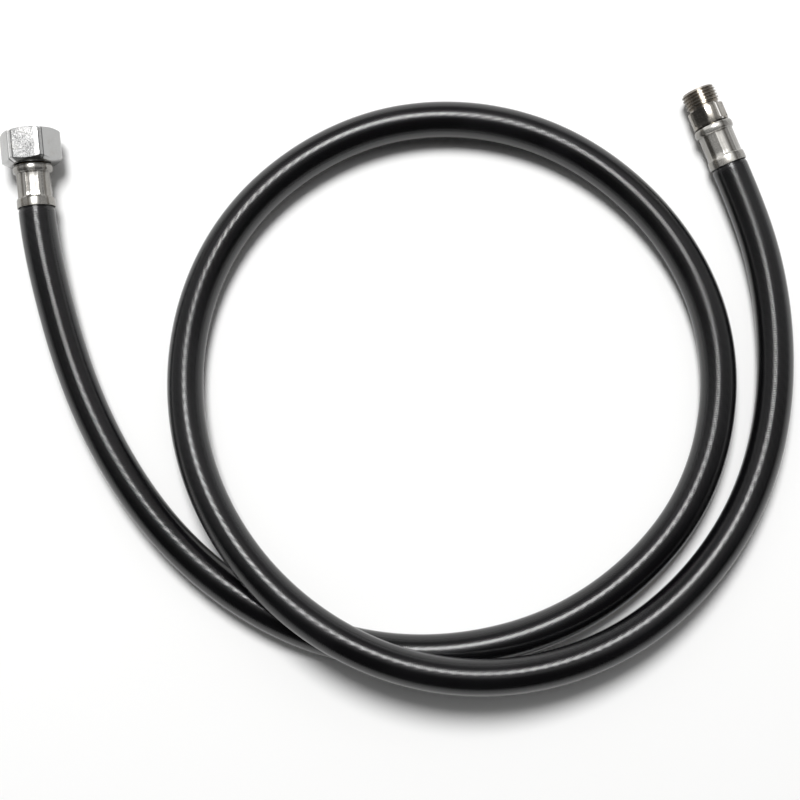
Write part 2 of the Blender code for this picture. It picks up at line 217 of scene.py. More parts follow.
class Tree:
    """The nodes of a material or world."""

    def __init__(self, owner):
        owner.use_nodes = True
        self.nodes = owner.node_tree.nodes
        self.links = owner.node_tree.links

    def add(self, kind, settings=None, sockets=None, out=0):
        """Adds a node: first its settings, then the values or links of its sockets."""
        node = self.nodes.new(kind)
        for name, value in (settings or {}).items():
            setattr(node, name, value)
        for key, value in (sockets or {}).items():
            self.put(node, key, value)
        if isinstance(out, str):
            return Value(self, next(s for s in node.outputs if s.name == out and s.enabled))
        return Value(self, [s for s in node.outputs if s.enabled][out])

    def put(self, node, key, value):
        """Gives a socket of a node a value or a link."""
        if isinstance(key, str):
            socket = next(s for s in node.inputs if s.name == key and s.enabled)
        else:
            socket = node.inputs[key]
        if isinstance(value, Value):
            self.links.new(value.socket, socket)
        elif isinstance(value, tuple) and socket.type == "RGBA" and len(value) == 3:
            socket.default_value = (*value, 1.0)
        else:
            socket.default_value = value

    def mix(self, factor, first, second):
        """Colour between two colours."""
        return self.add("ShaderNodeMix", {"data_type": "RGBA"},
                        {"Factor": factor, "A": first, "B": second})

    def place(self):
        """Where a point is on its object, in the object's own axes."""
        return self.add("ShaderNodeTexCoord", out="Object")

    def scaled(self, vector, *factors):
        """A vector times a factor along each of its axes."""
        return self.add("ShaderNodeVectorMath", {"operation": "MULTIPLY"}, {0: vector, 1: factors})

    def parts(self, vector):
        """The three numbers of a vector."""
        return [self.add("ShaderNodeSeparateXYZ", None, {0: vector}, out) for out in "XYZ"]

    def noise(self, vector, scale, detail, roughness=0.5):
        """Noise from 0 to 1 over a vector."""
        return self.add("ShaderNodeTexNoise", None, {
            "Vector": vector, "Scale": scale, "Detail": detail, "Roughness": roughness})

    def bump(self, height, distance):
        """Normal of a relief that is distance high where height is 1."""
        return self.add("ShaderNodeBump", None, {"Distance": distance, "Height": height})


class Surface(Tree):
    """A material with one Principled shader. Its constant sockets are set directly."""

    def __init__(self, name, **constants):
        self.material = bpy.data.materials.new(name)
        super().__init__(self.material)
        self.shader = self.nodes["Principled BSDF"]
        self.feed(**constants)

    def feed(self, **sockets):
        """Values or links of the shader's sockets; an underscore stands for a space."""
        for name, value in sockets.items():
            self.put(self.shader, name.replace("_", " "), value)


def shaded(tint, *factors):
    """A colour times one factor, or times one for each of its channels."""
    factors = factors * 3 if len(factors) == 1 else factors
    return tuple(c * f for c, f in zip(tint, factors))


# Meshes


def placement(mouth, turn):
    """Frame of a fitting: local Z out along its axis from the ferrule's mouth, local X up."""
    up = Vector((0, 0, 1))
    axis = Vector((-math.sin(turn), math.cos(turn), 0))
    made = Matrix((up, axis.cross(up), axis)).transposed().to_4x4()
    made.translation = mouth
    return made


NUT_FRAME = placement(NUT_MOUTH, NUT_TURN)
NIPPLE_FRAME = placement(NIPPLE_MOUTH, NIPPLE_TURN)


def turned(angles, rows):
    """Points round the axis. A row is a radius and a distance, numbers or functions of the angles."""
    wheel = np.append(angles, angles[0] + TURN)
    points = np.empty((len(rows), len(wheel), 3))
    for i, (radius, along) in enumerate(rows):
        radius = np.broadcast_to(radius(wheel) if callable(radius) else radius, wheel.shape)
        along = along(wheel) if callable(along) else along
        points[i, :, 0] = radius * np.cos(wheel)
        points[i, :, 1] = radius * np.sin(wheel)
        points[i, :, 2] = along
    return points


def grid_mesh(name, points):
    """Closed mesh of quads over rows of points, the last row joined to the first, doubles merged."""
    rows, columns = points.shape[:2]
    low = np.arange(rows * columns).reshape(rows, columns)
    high = np.roll(low, -1, axis=0)
    quads = np.stack([low[:, :-1], low[:, 1:], high[:, 1:], high[:, :-1]], axis=-1).reshape(-1, 4)
    bm = bmesh.new()
    verts = [bm.verts.new(p) for p in points.reshape(-1, 3)]
    for quad in quads:
        bm.faces.new([verts[i] for i in quad])
    bmesh.ops.remove_doubles(bm, verts=bm.verts, dist=2e-6)
    bmesh.ops.dissolve_degenerate(bm, edges=bm.edges, dist=1e-6)
    bmesh.ops.recalc_face_normals(bm, faces=bm.faces)
    return finish_mesh(name, bm)


def finish_mesh(name, bm):
    """Mesh with what a BMesh holds, which is freed."""
    mesh = bpy.data.meshes.new(name)
    bm.to_mesh(mesh)
    bm.free()
    return mesh


def add_piece(name, mesh, surface, body, nodes, place=None, crease=32):
    """Object of a finished mesh, smooth up to the crease, that rides on a body."""
    mesh.shade_smooth()
    mesh.set_sharp_from_angle(angle=math.radians(crease))
    mesh.materials.append(surface.material)
    made = bpy.data.objects.new(name, mesh)
    bpy.context.scene.collection.objects.link(made)
    if place is not None:
        made.matrix_world = place
    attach(made, body)
    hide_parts(*nodes)
    return made


def mark_edges(mesh, least, wanted):
    """Gives the wanted edges that turn by more than the least angle a bevel weight of 1."""
    bm = bmesh.new()
    bm.from_mesh(mesh)
    weight = bm.edges.layers.float.new("bevel_weight_edge")
    for edge in bm.edges:
        if len(edge.link_faces) == 2 and edge.calc_face_angle(0) > math.radians(least):
            if all(wanted(v.co) for v in edge.verts):
                edge[weight] = 1.0
    bm.to_mesh(mesh)
    bm.free()


def round_edges(piece, width, segments=3):
    """Bevel of the edges that mark_edges chose."""
    bevel = piece.modifiers.new("Rounded edges", "BEVEL")
    bevel.limit_method = "WEIGHT"
    bevel.width = width
    bevel.segments = segments
    bevel.harden_normals = True


def even_angles(count):
    """Angles of equal steps round one turn."""
    return np.arange(count) * TURN / count


def thread_rows(pitch, crest, root, low, high, low_radius, high_radius, inside):
    """Rows that climb one pitch in a turn between two rings, as a right-hand thread."""
    steps = 14
    crest_edge, root_edge = 1 / 16, 0.41
    turns = math.ceil((high - low) / pitch) + 1
    sign = -1 if inside else 1
    rows = []
    for j in range(steps * (turns + 1) + 1):
        part = (j % steps) / steps
        off = abs(part - round(part))
        deep = np.clip((off - crest_edge) / (root_edge - crest_edge), 0, 1)
        rounded = deep * (0.8 + 0.2 * math.sin(deep * math.pi / 2))
        radius = crest + (root - crest) * rounded
        start = low + pitch * (j / steps - 1)

        def along(wheel, start=start):
            return np.clip(start + pitch * (wheel - wheel[0]) / TURN, low, high)

        def kept(wheel, radius=radius, along=along):
            z = along(wheel)
            runs = (sign * low_radius + (z - low), sign * high_radius + (high - z))
            return sign * np.minimum(sign * radius, np.minimum(*runs))

        rows.append((kept, along))
    return rows


# Hose


def smooth_route(points, start, end):
    """Dense points on one smooth curve through the route, leaving and arriving along the axes."""
    points = np.array(points)
    gaps = np.linalg.norm(np.diff(points, axis=0), axis=1)
    last = len(points) - 1
    system = np.zeros((last + 1, last + 1))
    known = np.zeros((last + 1, 3))
    system[0, 0] = system[last, last] = 1
    known[0], known[last] = start, end
    for i in range(1, last):
        before, after = gaps[i - 1], gaps[i]
        system[i, i - 1:i + 2] = (1 / before, 2 / before + 2 / after, 1 / after)
        rise_in = (points[i] - points[i - 1]) / before ** 2
        rise_out = (points[i + 1] - points[i]) / after ** 2
        known[i] = 3 * (rise_in + rise_out)
    slopes = np.linalg.solve(system, known)
    dense = []
    for i in range(last):
        for u in np.linspace(0, 1, 40, endpoint=False):
            dense.append((2 * u ** 3 - 3 * u ** 2 + 1) * points[i]
                         + (3 * u ** 2 - 2 * u ** 3) * points[i + 1]
                         + (u ** 3 - 2 * u ** 2 + u) * gaps[i] * slopes[i]
                         + (u ** 3 - u ** 2) * gaps[i] * slopes[i + 1])
    dense.append(points[last])
    return np.array(dense)


def hose_line(radius):
    """Centreline of the free hose from mouth to mouth."""
    out_of_nut = -np.array(NUT_FRAME.col[2][:3])
    into_nipple = np.array(NIPPLE_FRAME.col[2][:3])
    first = np.array(NUT_MOUTH) + GAP * out_of_nut
    final = np.array(NIPPLE_MOUTH) - GAP * into_nipple
    between = [(x * MM, y * MM, radius + lift * 2 * radius) for x, y, lift in ROUTE]
    dense = smooth_route([first, *between, final], out_of_nut, into_nipple)
    dense[:, 2] = np.maximum(dense[:, 2], radius)
    return dense


def distances(line):
    """Distance along a line of points, at each point."""
    return np.concatenate([[0], np.cumsum(np.linalg.norm(np.diff(line, axis=0), axis=1))])


def rings_along(line, spacing, squeeze):
    """Stations along a line, their places and shares of the radius, with the ends in the mouths."""
    push = 1.2 * MM
    start = line[0] + (line[0] - line[1]) / np.linalg.norm(line[0] - line[1]) * push
    end = line[-1] + (line[-1] - line[-2]) / np.linalg.norm(line[-1] - line[-2]) * push
    line = np.vstack([start, line, end])
    along = distances(line)
    fine = np.array([0, 0.3, 0.6, 0.9, 1.2, 1.5, 1.9, 2.4, 3.0, 4.0]) * MM
    margin = 5 * MM
    middle = np.linspace(margin, along[-1] - margin, round((along[-1] - 2 * margin) / spacing))
    stations = np.concatenate([fine, middle, (along[-1] - fine)[::-1]])
    places = np.column_stack([np.interp(stations, along, line[:, k]) for k in range(3)])
    smooth = places.copy()
    held = len(fine) + 1
    for _ in range(3):
        smooth[held:-held] = (smooth[held - 1:-held - 1] + 2 * smooth[held:-held]
                              + smooth[held + 1:1 - held]) / 4
    ends = np.minimum(stations, along[-1] - stations) / MM
    grip = np.clip((ends - 0.8) / 2.2, 0, 1)
    radii = squeeze + (1 - squeeze) * grip * grip * (3 - 2 * grip)
    return stations, smooth, radii


def tube_mesh(name, stations, places, radii, around):
    """Tube through the places with capped ends and a UV map: metres along, and turns around."""
    ahead = np.gradient(places, axis=0)
    ahead /= np.linalg.norm(ahead, axis=1)[:, None]
    side = np.cross(ahead, (0, 0, 1))
    side /= np.linalg.norm(side, axis=1)[:, None]
    up = np.cross(side, ahead)
    turn = even_angles(around)
    wheel = np.cos(turn)[None, :, None] * side[:, None] + np.sin(turn)[None, :, None] * up[:, None]
    points = (places[:, None] + radii[:, None, None] * wheel).reshape(-1, 3)
    count = len(places)
    faces, where = [], []
    for i in range(count - 1):
        for j in range(around):
            k = (j + 1) % around
            faces.append((i * around + j, i * around + k, (i + 1) * around + k, (i + 1) * around + j))
            left, right = j / around, (j + 1) / around
            low, high = stations[i], stations[i + 1]
            where += [(low, left), (low, right), (high, right), (high, left)]
    for i, order in ((0, range(around - 1, -1, -1)), (count - 1, range(around))):
        faces.append([i * around + j for j in order])
        where += [(stations[i], 0.0)] * around
    mesh = bpy.data.meshes.new(name)
    mesh.from_pydata(points.tolist(), [], faces)
    layer = mesh.uv_layers.new(name="Along and around")
    layer.data.foreach_set("uv", np.array(where, np.float32).ravel())
    bm = bmesh.new()
    bm.from_mesh(mesh)
    bmesh.ops.recalc_face_normals(bm, faces=bm.faces)
    bm.to_mesh(mesh)
    bm.free()
    return mesh


def hose_surface(settings):
    """Smooth black skin in which the braid under it shows as a faint diamond relief."""
    skin = Surface("hose_skin", IOR=1.58)
    spread = skin.add("ShaderNodeUVMap", {"uv_map": "Along and around"})
    along, around, _ = skin.parts(spread)
    # The lamp's streak breaks up on two sets of slanting ripples and on the braid's crossing yarns
    yarns = 28
    turns = along / settings.braid_pitch
    up = ((turns + around * yarns) * TURN).math("SINE")
    down = ((turns - around * yarns) * TURN).math("SINE")
    rings = ((turns + around * 3) * TURN).math("SINE")
    fine = ((turns * 2.21 - around * 5) * TURN).math("SINE")
    place = skin.place()
    cloud = skin.noise(place, 38.0, 2.0)
    grain = skin.noise(place, 2600.0, 2.0)
    relief = rings * 0.5 + fine * 0.3 + up * 0.2 + down * 0.1 + grain * 0.12
    skin.feed(
        Base_Color=skin.mix(cloud.ramp(0.45, 0.75), tuple(settings.skin),
                            shaded(settings.skin, 1.6)),
        Roughness=cloud.ramp(0.3, 0.7, 0.17, 0.22) + grain * 0.03,
        Normal=skin.bump(relief, settings.braid_relief),
    )
    return skin


# Metal


def angle_from_top(surface, place):
    """Degrees round a fitting's axis from its top, positive towards the nipple's side."""
    x, y, _ = surface.parts(place)
    return y.math("ARCTAN2", x) * (360 / TURN)


def metal_surface(name, tint, roughness, streak, pits, relief, tone=None, metallic=1.0):
    """Plated metal with turning marks round its axis, streaks along it, and fine dark pits."""
    metal = Surface(name, Metallic=metallic)
    place = metal.place()
    streaks = metal.noise(metal.scaled(place, 1.0, 1.0, 0.06), 900.0, 3.0)
    rings = metal.noise(metal.scaled(place, 0.05, 0.05, 1.0), 3500.0, 2.0)
    cloud = metal.noise(place, 160.0, 4.0, 0.6)
    specks = metal.noise(place, 2400.0, 2.0, 0.6).ramp(0.62, 0.72)
    stain = cloud.ramp(0.5, 0.78) * 0.35 + specks * pits
    dark = shaded(tint, 0.42, 0.38, 0.32)
    # A tone may paint highlights, dark reflections and shade into the base colour
    shade = tone(metal, place, cloud) if tone else tint
    metal.feed(
        Base_Color=metal.mix(stain, shade, dark),
        Roughness=cloud.ramp(0.3, 0.75, roughness, roughness + 0.1) + specks * 0.2,
        Normal=metal.bump(streaks * streak + rings * (1 - streak) + specks * -0.6, relief),
    )
    return metal


def nut_tone(tint, rear_face):
    """Satin grain on the top flat; painted highlights beside it, painted dark reflections at the
    corners, and painted shade on the side flats and on the rear chamfer.

    The stripes are painted at angles from the top, in degrees, and turn with the nut.
    """
    top_flat = (-26.0, 19.0)
    # Painted highlights: near-white strips beside the top flat, at these angles from the top
    right_highlight, left_highlight = (20.5, 25.6), (-34.0, -27.0)
    # Painted shade: the flats beyond these angles from the top are darker
    side_shade = (34.0, 35.0)
    # Painted dark reflections: thin dark lines along the edges of the turned-down corners, centre and
    # half width in degrees
    corner_reflection_lines = ((-36.4, 2.2), (-25.3, 1.1), (28.3, 1.0), (35.5, 1.5))
    # Painted shade on the rear chamfer between these angles
    shaded_chamfer = (-27.0, 36.0)

    def tone(metal, place, _cloud):
        x, y, z = metal.parts(place)
        radius = (x * x + y * y) ** 0.5
        angle = angle_from_top(metal, place)
        height = z - NUT_BACK - (radius - rear_face) * CHAMFER_SLOPE
        grain = metal.noise(place, 2300.0, 0.0).ramp(0.42, 0.6)
        satin = metal.mix(angle.between(*top_flat, 0.8) * grain * 0.75, shaded(tint, 0.88),
                          (0.1, 0.1, 0.1))
        # Painted highlight strips, kept off the rear chamfer
        bright = angle.between(*right_highlight, 1.0) + angle.between(*left_highlight, 0.6)
        made = metal.mix(bright * height.ramp(0.1 * MM, 0.4 * MM), satin, (0.95, 0.95, 0.94))
        # Painted shade on the side flats
        made = metal.mix(angle.math("ABSOLUTE").ramp(*side_shade), made, shaded(tint, 0.6))
        # Painted dark reflection lines at the corners
        for centre, half in corner_reflection_lines:
            line = angle.between(centre - half, centre + half, 0.6)
            made = metal.mix(line * 0.85, made, (0.04, 0.04, 0.04))
        # Painted shade: the rear chamfer is near black
        chamfer = height.ramp(0.05 * MM, 0.3 * MM, 1.0, 0.0) * angle.between(*shaded_chamfer, 6.0)
        return metal.mix(chamfer * 0.85, made, (0.03, 0.03, 0.028))

    return tone


def ferrule_tone(tint, bright, lines):
    """Dull sheet metal with one painted highlight stripe and painted dark reflection lines."""

    def tone(metal, place, cloud):
        angle = angle_from_top(metal, place)
        dull = metal.mix(cloud, shaded(tint, 0.34), shaded(tint, 0.46))
        # Painted highlight: a lighter stripe between the given angles from the top
        made = metal.mix(angle.between(*bright, 5.0), dull, shaded(tint, 1.15))
        for centre, half in lines:
            # Painted dark reflections: thin dark lines at the given angles
            line = angle.between(centre - half, centre + half, 2.0)
            made = metal.mix(line * 0.7, made, (0.09, 0.08, 0.065))
        return made

    return tone


def nipple_tone(tint):
    """Dull plating with a painted highlight along the land, a painted highlight strip, painted shade
    in a milled flat and a painted dark reflection line on the collar, and a thread that is
    darker in its roots.

    The stripes are painted at angles from the top, in degrees.
    """
    # Angles from the top: a painted highlight along the land, a painted highlight strip, painted
    # shade in a milled flat and a painted dark reflection line
    land = (-17.0, 2.0)
    highlight_strip = (26.5, 33.0)
    milled_flat_shade = (-66.0, -22.0)
    collar_reflection_line = (38.0, 43.0)
    thread_start = (29.3 * MM, 29.9 * MM)
    root_depth = (7.1 * MM, 7.8 * MM)

    def tone(metal, place, cloud):
        x, y, z = metal.parts(place)
        angle = angle_from_top(metal, place)
        radius = (x * x + y * y) ** 0.5
        dull = metal.mix(cloud, shaded(tint, 0.34), shaded(tint, 0.48))
        # Painted highlight: a pale column along the round land at the top
        highlight_column = angle.between(*land, 4.0)
        made = metal.mix(highlight_column, dull, (0.85, 0.80, 0.72))
        threaded = z.ramp(*thread_start)
        collar = 1 - threaded
        # Painted highlight strip on the collar
        made = metal.mix(angle.between(*highlight_strip, 1.2) * collar, made, (0.95, 0.93, 0.90))
        # Painted shade in one of the collar's milled flats
        made = metal.mix(angle.between(*milled_flat_shade, 2.0) * collar * 0.55, made, (0.05, 0.045, 0.04))
        # Painted dark reflection line on the collar
        made = metal.mix(angle.between(*collar_reflection_line, 1.5) * collar * 0.7, made, (0.06, 0.055, 0.05))
        # Darker towards the thread's roots and in clouds, less so under the painted highlight column
        root = radius.ramp(*root_depth, 1.0, 0.0)
        darker_roots = threaded * (root * 0.4 + cloud.ramp(0.35, 0.6) * 0.15) * (1 - highlight_column * 0.75)
        return metal.mix(darker_roots, made, shaded(tint, 0.2, 0.16, 0.12))

    return tone


def hexagon(settings):
    """Radius of the nut's outside at an angle: six flats, with turned-down corners."""
    land = settings.across_flats / math.sqrt(3) - settings.corner_cut

    def radius(wheel):
        sixth = math.pi / 3
        off = (wheel + sixth / 2) % sixth - sixth / 2
        return np.minimum(settings.across_flats / 2 / np.cos(off), land)

    return radius, land


def nut_mesh(settings):
    """Hex nut with chamfered ends, a threaded socket and a back wall with a hole for the neck."""
    radius, land = hexagon(settings)
    edge = math.acos(settings.across_flats / 2 / land)
    flat = np.linspace(-edge, edge, 25)
    corner = np.linspace(edge, math.pi / 3 - edge, 9)[1:-1]
    angles = np.concatenate([side * math.pi / 3 + np.append(flat, corner) for side in range(6)])
    back = NUT_BACK
    front = back + settings.length
    rear_face = settings.across_flats / 2 - REAR_CHAMFER
    front_face = settings.across_flats / 2 - FRONT_CHAMFER
    wall_front = back + 2.5 * MM
    outside = 11.2 * MM
    minor, major = 9.315 * MM, 10.478 * MM
    inner_start = 24.9 * MM
    hole = 7.0 * MM
    thread = thread_rows(settings.thread_pitch, minor, major, inner_start, front, minor,
                         major + 0.2 * MM, inside=True)
    rows = [
        (rear_face, back),
        (radius, lambda w: back + (radius(w) - rear_face) * CHAMFER_SLOPE),
        (radius, lambda w: (back + front) / 2 + 0 * w),
        (radius, lambda w: front - (radius(w) - front_face) * CHAMFER_SLOPE),
        (front_face, front),
        (major + 0.6 * MM, front),
        *reversed(thread),
        (minor, inner_start - 0.6 * MM),
        (minor, wall_front),
        (hole, wall_front),
        (hole, back + GAP),
        (hole + GAP, back),
    ]
    mesh = grid_mesh("hex_swivel_nut", turned(angles, rows))
    mark_edges(mesh, 20, lambda co: math.hypot(co.x, co.y) > outside)
    return mesh


def ferrule_mesh(name, settings, phase):
    """Rolled and crimped ferrule: flared mouth, band, crimped body, bead and end wall."""
    angles = even_angles(240)
    hose_radius = HOSE_DIAMETER / 2
    band = hose_radius + 0.4 * MM
    body = hose_radius - 0.65 * MM
    low = body + 0.4 * MM
    bead = hose_radius + settings.bead_rise
    wall = 0.55 * MM
    jaw = TURN / settings.jaws
    ridge = math.radians(10.5)
    rng = np.random.default_rng(7 + round(math.degrees(phase)) % 5)
    uneven = rng.uniform(0.8, 1.15, settings.jaws)

    def crimped(wheel):
        turn = wheel - phase
        number = np.round(turn / jaw).astype(int) % settings.jaws
        off = np.abs((turn + jaw / 2) % jaw - jaw / 2)
        rise = np.clip(1 - off / ridge, 0, 1)
        dish = -0.05 * MM * np.cos(off / jaw * TURN) ** 2
        return body + settings.crimp_ridge * uneven[number] * rise ** 1.3 + 0.04 * MM + dish

    def blend(share, other):
        return lambda wheel: crimped(wheel) * (1 - share) + other * share

    def inner(wheel):
        return crimped(wheel) - wall

    outer = [(band - 0.3 * MM, 0), (band - 0.12 * MM, 0.04 * MM), (band - 0.02 * MM, 0.14 * MM),
             (band, 0.3 * MM), (band, 1.4 * MM), (band - 0.03 * MM, 2.8 * MM),
             (band - 0.08 * MM, 3.7 * MM), (blend(0.86, band - 0.08 * MM), 4.0 * MM),
             (blend(0.5, band - 0.1 * MM), 4.3 * MM), (blend(0.16, band - 0.1 * MM), 4.6 * MM),
             (crimped, 4.9 * MM)]
    outer += [(crimped, z * MM) for z in (7, 10, 13, 15.3)]
    outer += [(blend(0.2, low), 15.65 * MM), (blend(0.6, low), 15.9 * MM)]
    half = 1.95 * MM
    middle = FERRULE_LENGTH - half
    for step in range(13):
        t = math.radians(8 + step * 172 / 12)
        outer.append((low + (bead - low) * math.sin(t) ** 0.8, middle - half * math.cos(t)))
    hole = COLLET + GAP
    rows = outer + [
        (hole, FERRULE_LENGTH), (hole, FERRULE_LENGTH - wall), (low - wall, FERRULE_LENGTH - wall),
        (bead - wall, middle + 0.3 * half), (bead - wall, middle - 0.3 * half),
        (inner, 15.7 * MM), (inner, 4.6 * MM), (band - wall - 0.1 * MM, 3.8 * MM),
        (band - wall, 0.3 * MM),
    ]
    return grid_mesh(name, turned(angles, rows))


def stem_rows():
    """Rows of a barbed stem, from its collet back to its tip in the hose."""
    start, tip, barbs = 17.85 * MM, 1.5 * MM, 5
    pitch = (start - tip) / barbs
    rows = []
    for i in range(barbs):
        rows += [(5.0 * MM, start - i * pitch), (4.6 * MM, start - (i + 0.85) * pitch)]
    return rows + [(BORE + 0.4 * MM, tip), (BORE, tip)]


def tail_mesh():
    """Tail with a head inside the nut, a neck through its back wall and a barbed stem."""
    shoulder = FERRULE_LENGTH + GAP
    head = 9.0 * MM
    neck = 6.7 * MM
    rows = [
        (BORE + 0.3 * MM, HEAD_FACE), (5.4 * MM, HEAD_FACE), (5.6 * MM, HEAD_FACE - 0.12 * MM),
        (5.8 * MM, HEAD_FACE), (head - 0.35 * MM, HEAD_FACE), (head - 0.1 * MM, HEAD_FACE - 0.1 * MM),
        (head, HEAD_FACE - 0.35 * MM), (head, HEAD_BACK), (neck, HEAD_BACK), (neck, shoulder),
        (COLLET, shoulder), (COLLET, COLLET_BACK), *stem_rows(), (BORE, HEAD_FACE - 0.3 * MM),
    ]
    return grid_mesh("turned_tail", turned(even_angles(128), rows))


def washer_mesh():
    """Flat washer with rounded rims."""
    back = HEAD_FACE + GAP
    face = back + 2.0 * MM
    outer, hole = 9.0 * MM, 5.5 * MM
    soft = 0.25 * MM
    rows = []
    corners = ((outer, back, 1, 1, -90), (outer, face, 1, -1, 0), (hole, face, -1, -1, 90),
               (hole, back, -1, 1, 180))
    for radius, along, side, lift, start in corners:
        for step in range(5):
            t = math.radians(start + step * 22.5)
            rows.append((radius - side * soft + soft * math.cos(t),
                         along + lift * soft + soft * math.sin(t)))
    return grid_mesh("rubber_washer", turned(even_angles(128), rows))


def flat_cutter(settings, back, front):
    """Blocks with two rounded corners each, which mill the flats into the collar."""
    radius = settings.collar_diameter / 2
    floor = radius - settings.flat_depth
    half = math.sqrt(radius ** 2 - floor ** 2) + GAP
    low = back + 0.95 * MM
    high = front + 0.5 * MM
    corner = 2.3 * MM
    side = [(half - corner + corner * math.sin(a), low + corner - corner * math.cos(a))
            for a in np.linspace(0, math.pi / 2, 13)]
    outline = [*side, (half, high), (-half, high), *[(-w, t) for w, t in reversed(side)]]
    bm = bmesh.new()
    for i in range(4):
        turn = Matrix.Rotation(math.radians(45) + TURN * i / 4, 3, "Z")
        near = [bm.verts.new(turn @ Vector((floor, w, t))) for w, t in outline]
        far = [bm.verts.new(turn @ Vector((radius * 2, w, t))) for w, t in outline]
        for k in range(len(near)):
            bm.faces.new((near[k - 1], near[k], far[k], far[k - 1]))
        bm.faces.new(near)
        bm.faces.new(far)
    bmesh.ops.recalc_face_normals(bm, faces=bm.faces)
    return bpy.data.objects.new("flat_cutter", finish_mesh("flat_cutter", bm))


def nipple_mesh(settings):
    """Nipple with a threaded end, a relief, a collar with milled flats and a barbed stem."""
    back = COLLAR_BACK
    front = back + 8.4 * MM
    low = front + 1.0 * MM
    high = front + 9.2 * MM
    crest = settings.thread_diameter / 2
    root = crest - THREAD_DEPTH * settings.thread_pitch
    relief = root - 0.1 * MM
    radius = settings.collar_diameter / 2
    edge = 0.4 * MM
    bulge = 0.12 * MM
    lip = high - 0.02 * MM
    rows = [
        (relief, lip), (relief, high), (BORE + edge, high), (BORE, high - edge),
        *reversed(stem_rows()), (COLLET, COLLET_BACK), (COLLET, back), (radius - edge, back),
        (radius - bulge, back + bulge), (radius, back + edge), (radius, front - edge),
        (radius - bulge, front - bulge), (radius - edge, front),
        (relief + 0.2 * MM, front), (relief, front + 0.2 * MM),
        *thread_rows(settings.thread_pitch, crest, root, low, lip, relief, relief, inside=False),
    ]
    mesh = grid_mesh("threaded_nipple", turned(even_angles(192), rows))
    body = bpy.data.objects.new("nipple_blank", mesh)
    cutter = flat_cutter(settings, back, front)
    for made in (body, cutter):
        bpy.context.scene.collection.objects.link(made)
    cut = body.modifiers.new("Flats", "BOOLEAN")
    cut.operation = "DIFFERENCE"
    cut.solver = "EXACT"
    cut.object = cutter
    seen = body.evaluated_get(bpy.context.evaluated_depsgraph_get())
    milled = bpy.data.meshes.new_from_object(seen)
    milled.name = "threaded_nipple"
    for made in (body, cutter):
        bpy.data.objects.remove(made)
    return milled


# Operators


class AddCamera(bpy.types.Operator):
    """Camera that looks straight down on the hose"""

    bl_idname = "water_hose.add_camera"
    bl_label = "Camera"

    def execute(self, context):
        lens = bpy.data.cameras.new("camera")
        lens.lens = context.scene.hose_stage.focal_length
        lens.sensor_width = 36
        lens.clip_start = 0.01
        camera = bpy.data.objects.new("camera", lens)
        camera.location = CAMERA_PLACE
        camera.rotation_euler = (CAMERA_TILT, 0, 0)
        context.scene.collection.objects.link(camera)
        context.scene.camera = camera
        return {"FINISHED"}


class AddHose(bpy.types.Operator):
    """The free hose, from one ferrule's mouth to the other's"""

    bl_idname = "water_hose.add_hose"
    bl_label = "Hose"

    def execute(self, context):
        settings = context.scene.hose_tube
        radius = settings.diameter / 2
        line = hose_line(radius)
        squeeze = 0.945
        stations, places, shares = rings_along(line, settings.ring_spacing, squeeze)
        mesh = tube_mesh("black_hose", stations, places, shares * radius, settings.around)
        surface = hose_surface(settings)
        hose = add_piece("black_hose", mesh, surface, "hose_and_ends", ["hose"])
        return {"FINISHED"}


class AddSwivelNut(bpy.types.Operator):
    """The hex nut that turns on the tail"""

    bl_idname = "water_hose.add_swivel_nut"
    bl_label = "Swivel nut"

    def execute(self, context):
        settings = context.scene.hose_nut
        tint = tuple(settings.plating)
        tone = nut_tone(tint, settings.across_flats / 2 - REAR_CHAMFER)
        surface = metal_surface("nut_plate", tint, 0.17, 0.75, 0.3, 0.004 * MM, tone, 0.9)
        nut = add_piece("hex_swivel_nut", nut_mesh(settings), surface, "nut", ["swivel_nut"],
                        NUT_FRAME)
        round_edges(nut, settings.edge_round)
        return {"FINISHED"}


class AddWasherAndTail(bpy.types.Operator):
    """The rubber washer in the nut and the brass tail that it seals"""

    bl_idname = "water_hose.add_washer_and_tail"
    bl_label = "Washer and tail"

    def execute(self, context):
        settings = context.scene.hose_inner
        rubber = Surface("washer_rubber")
        place = rubber.place()
        dust = rubber.noise(place, 700.0, 4.0, 0.6)
        rubber.feed(
            Base_Color=rubber.mix(dust.ramp(0.5, 0.8), tuple(settings.rubber),
                                  shaded(settings.rubber, 2.2)),
            Roughness=dust.ramp(0.3, 0.7, 0.62, 0.78),
            Normal=rubber.bump(rubber.noise(place, 3000.0, 3.0), 0.01 * MM),
        )
        add_piece("rubber_washer", washer_mesh(), rubber, "nut", ["sealing_washer"],
                  NUT_FRAME)
        brass = metal_surface("tail_brass", tuple(settings.brass), 0.28, 0.1, 0.3, 0.004 * MM)
        add_piece("turned_tail", tail_mesh(), brass, "hose_and_ends", ["nut_tail"],
                  NUT_FRAME)
        return {"FINISHED"}


